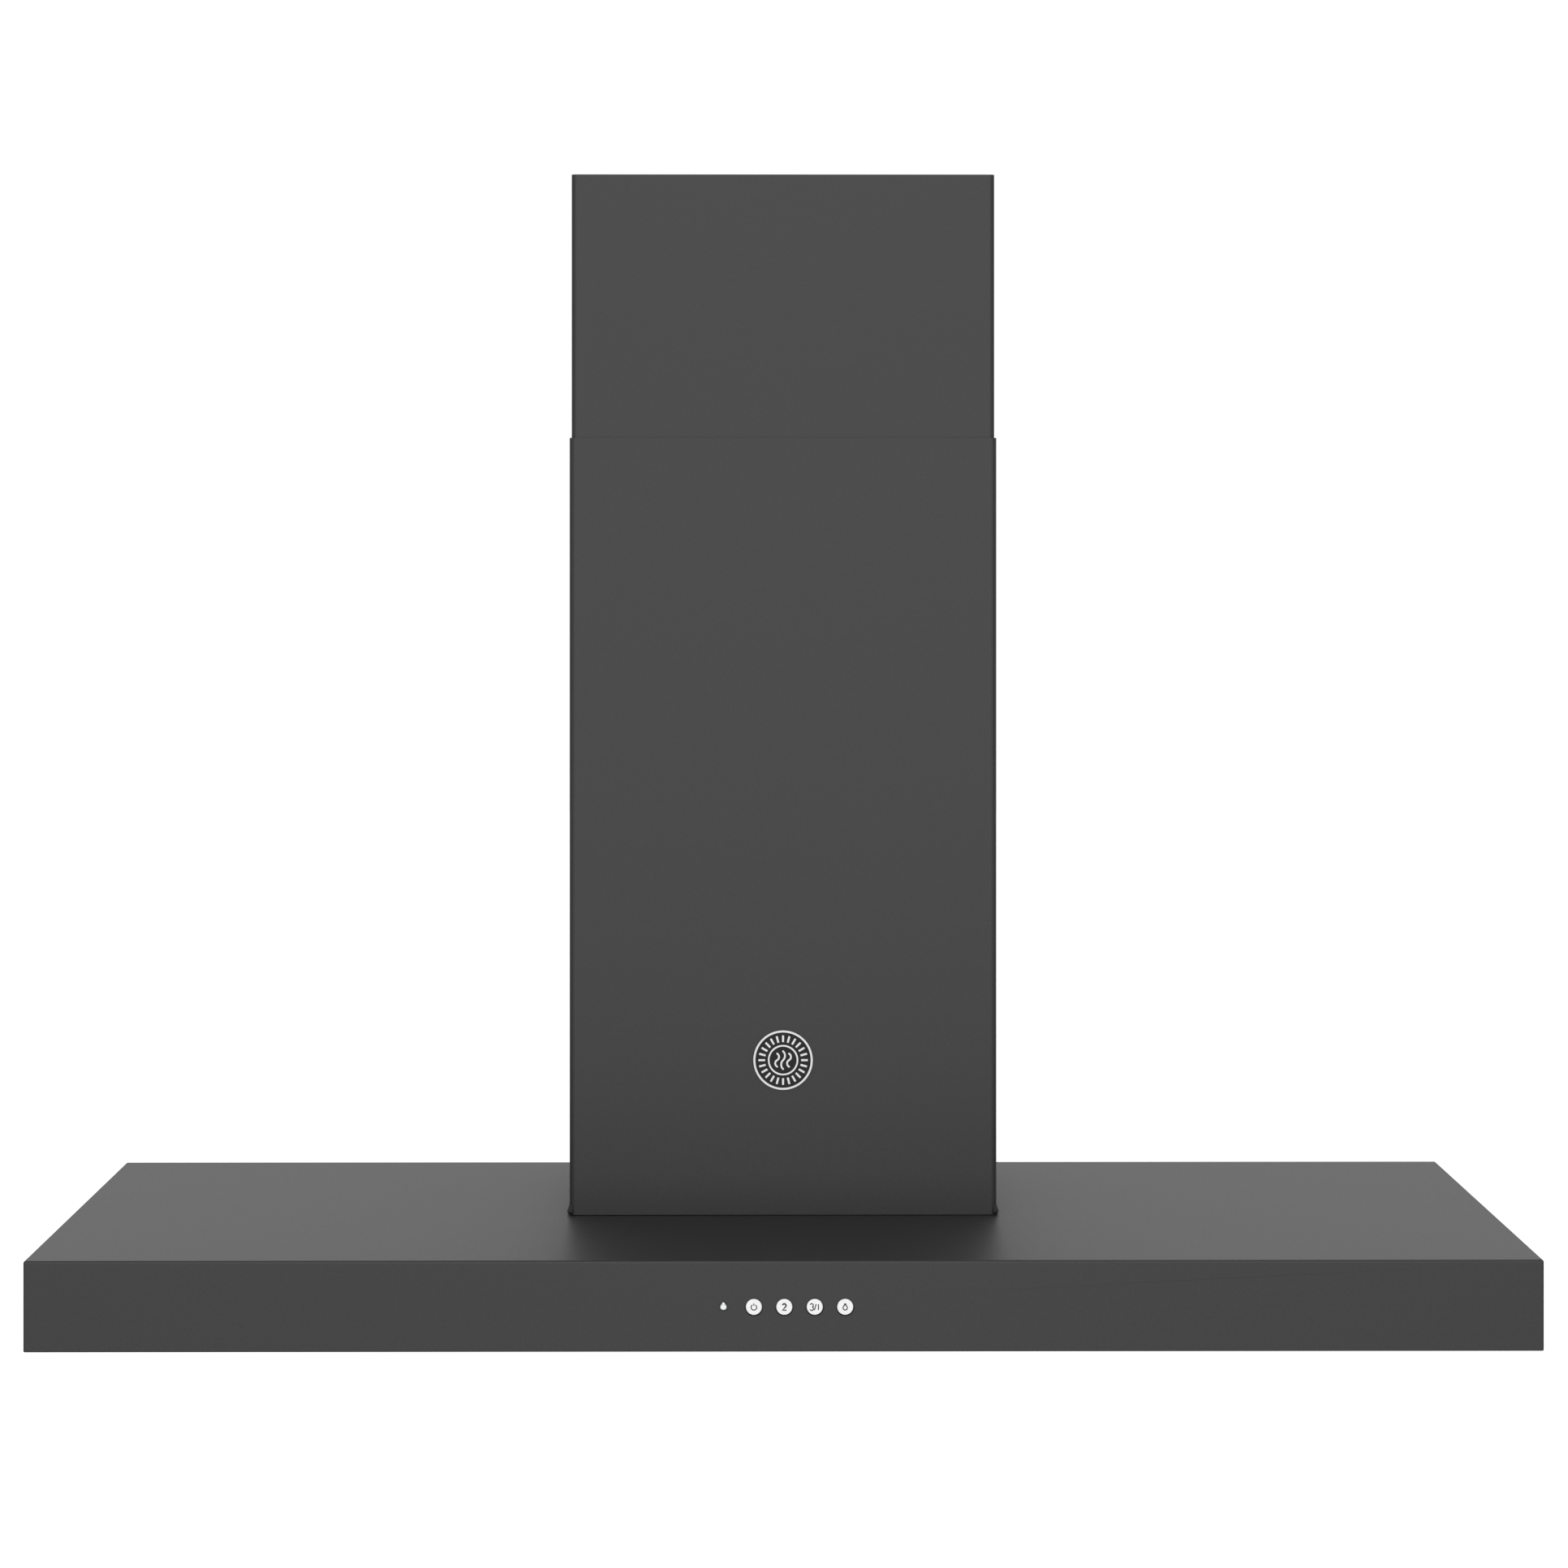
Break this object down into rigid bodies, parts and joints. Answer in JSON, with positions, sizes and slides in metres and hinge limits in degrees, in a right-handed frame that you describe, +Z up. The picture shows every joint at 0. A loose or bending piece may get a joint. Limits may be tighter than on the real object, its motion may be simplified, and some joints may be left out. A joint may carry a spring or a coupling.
{
  "type": "range hood",
  "caption": "Wall-mounted T-shaped range hood with a telescoping duct cover, flat rectangular canopy, push buttons, lamps and drop-down baffle filters.",
  "frame": {"origin": "middle of the wall face's lower edge: the wall plane, on the centre line, level with the canopy's lower edge", "axes": "+Z up along the chimney, +X to the right along the canopy's width as seen from the front, +Y towards the wall"},
  "size_m": [1.2, 0.5027, 0.949],
  "materials": {
    "satin_black": "satin black powder coat",
    "steel": "brushed",
    "spring_steel": "bright wire",
    "galvanised": "galvanised sheet",
    "aluminium": "cast",
    "frosted_lens": "frosted",
    "indicator_lens": "clear",
    "white_button": "gloss white",
    "black_plastic": "moulded",
    "circuit_board": "green board",
    "black_rubber": "matte",
    "badge_black": "gloss with light lines"
  },
  "bodies": {
    "hood": {"canopy_shell": "satin_black", "chimney_lower": "satin_black", "chimney_screws": "satin_black", "underside_panel": "steel", "lamp_bezel_1": "steel", "lamp_bezel_2": "steel", "lamp_bezel_3": "steel", "lamp_bezel_4": "steel", "panel_screws": "steel", "damper_spindle": "steel", "side_stiffeners": "galvanised", "blower_box": "galvanised", "outlet_collar": "galvanised", "wall_hooks": "galvanised", "motor_bracket": "galvanised", "blower_screws": "galvanised", "lamp_housings": "aluminium", "capacitor": "aluminium", "motor_body": "aluminium", "lamp_lens_1": "frosted_lens", "lamp_lens_2": "frosted_lens", "lamp_lens_3": "frosted_lens", "lamp_lens_4": "frosted_lens", "indicator_led": "indicator_lens", "indicator_bezel": "black_plastic", "control_bracket": "black_plastic", "led_driver": "black_plastic", "scroll_left": "black_plastic", "scroll_right": "black_plastic", "junction_box": "black_plastic", "junction_box_lid": "black_plastic", "cable_gland": "black_plastic", "control_board": "circuit_board", "chimney_foot_seals": "black_rubber", "control_cable": "black_rubber", "lamp_cable": "black_rubber", "badge": "badge_black"},
    "upper_chimney": {"chimney_upper": "satin_black", "ceiling_bracket": "galvanised", "ceiling_bracket_screws": "satin_black"},
    "impeller": {"impeller": "black_plastic", "motor_shaft": "steel"},
    "damper_front": {"damper_flap_front": "galvanised"},
    "damper_rear": {"damper_flap_rear": "galvanised"},
    "button_power": {"button_power": "white_button"},
    "button_speed_2": {"button_speed_2": "white_button"},
    "button_speed_3": {"button_speed_3": "white_button"},
    "button_light": {"button_light": "white_button"},
    "filter_left": {"filter_frame_left": "steel", "filter_baffles_left": "steel", "latch_springs_left": "spring_steel"},
    "latch_left": {"latch_slider_left": "black_plastic"},
    "filter_centre": {"filter_frame_centre": "steel", "filter_baffles_centre": "steel", "latch_springs_centre": "spring_steel"},
    "latch_centre": {"latch_slider_centre": "black_plastic"},
    "filter_right": {"filter_frame_right": "steel", "filter_baffles_right": "steel", "latch_springs_right": "spring_steel"},
    "latch_right": {"latch_slider_right": "black_plastic"}
  },
  "joints": [
    {"name": "chimney_slide", "type": "slide", "parent": "hood", "child": "upper_chimney", "axis": [0, 0, 1], "range_m": [-0.2, 0.22]},
    {"name": "impeller_spin", "type": "hinge", "parent": "hood", "child": "impeller", "pos_m": [0, -0.118, 0.2], "axis": [1, 0, 0], "continuous": true},
    {"name": "damper_front_swing", "type": "hinge", "parent": "hood", "child": "damper_front", "pos_m": [0, -0.18, 0.4185], "axis": [-1, 0, 0], "range_deg": [0, 80]},
    {"name": "damper_rear_swing", "type": "hinge", "parent": "hood", "child": "damper_rear", "pos_m": [0, -0.18, 0.4185], "axis": [1, 0, 0], "range_deg": [0, 80]},
    {"name": "press_power", "type": "slide", "parent": "hood", "child": "button_power", "axis": [0, 1, 0], "range_m": [0, 0.0015], "stiffness_N_per_m": 600, "springref_m": -0.0015},
    {"name": "press_speed_2", "type": "slide", "parent": "hood", "child": "button_speed_2", "axis": [0, 1, 0], "range_m": [0, 0.0015], "stiffness_N_per_m": 600, "springref_m": -0.0015},
    {"name": "press_speed_3", "type": "slide", "parent": "hood", "child": "button_speed_3", "axis": [0, 1, 0], "range_m": [0, 0.0015], "stiffness_N_per_m": 600, "springref_m": -0.0015},
    {"name": "press_light", "type": "slide", "parent": "hood", "child": "button_light", "axis": [0, 1, 0], "range_m": [0, 0.0015], "stiffness_N_per_m": 600, "springref_m": -0.0015},
    {"name": "filter_left_drop", "type": "hinge", "parent": "hood", "child": "filter_left", "pos_m": [-0.334, -0.0923, 0.0103], "axis": [1, 0, 0], "range_deg": [0, 60]},
    {"name": "latch_left_pull", "type": "slide", "parent": "filter_left", "child": "latch_left", "axis": [0, 1, 0], "range_m": [0, 0.006], "stiffness_N_per_m": 300, "springref_m": -0.004, "deforming": ["latch_springs_left"]},
    {"name": "filter_centre_drop", "type": "hinge", "parent": "hood", "child": "filter_centre", "pos_m": [0, -0.0923, 0.0103], "axis": [1, 0, 0], "range_deg": [0, 60]},
    {"name": "latch_centre_pull", "type": "slide", "parent": "filter_centre", "child": "latch_centre", "axis": [0, 1, 0], "range_m": [0, 0.006], "stiffness_N_per_m": 300, "springref_m": -0.004, "deforming": ["latch_springs_centre"]},
    {"name": "filter_right_drop", "type": "hinge", "parent": "hood", "child": "filter_right", "pos_m": [0.334, -0.0923, 0.0103], "axis": [1, 0, 0], "range_deg": [0, 60]},
    {"name": "latch_right_pull", "type": "slide", "parent": "filter_right", "child": "latch_right", "axis": [0, 1, 0], "range_m": [0, 0.006], "stiffness_N_per_m": 300, "springref_m": -0.004, "deforming": ["latch_springs_right"]}
  ]
}
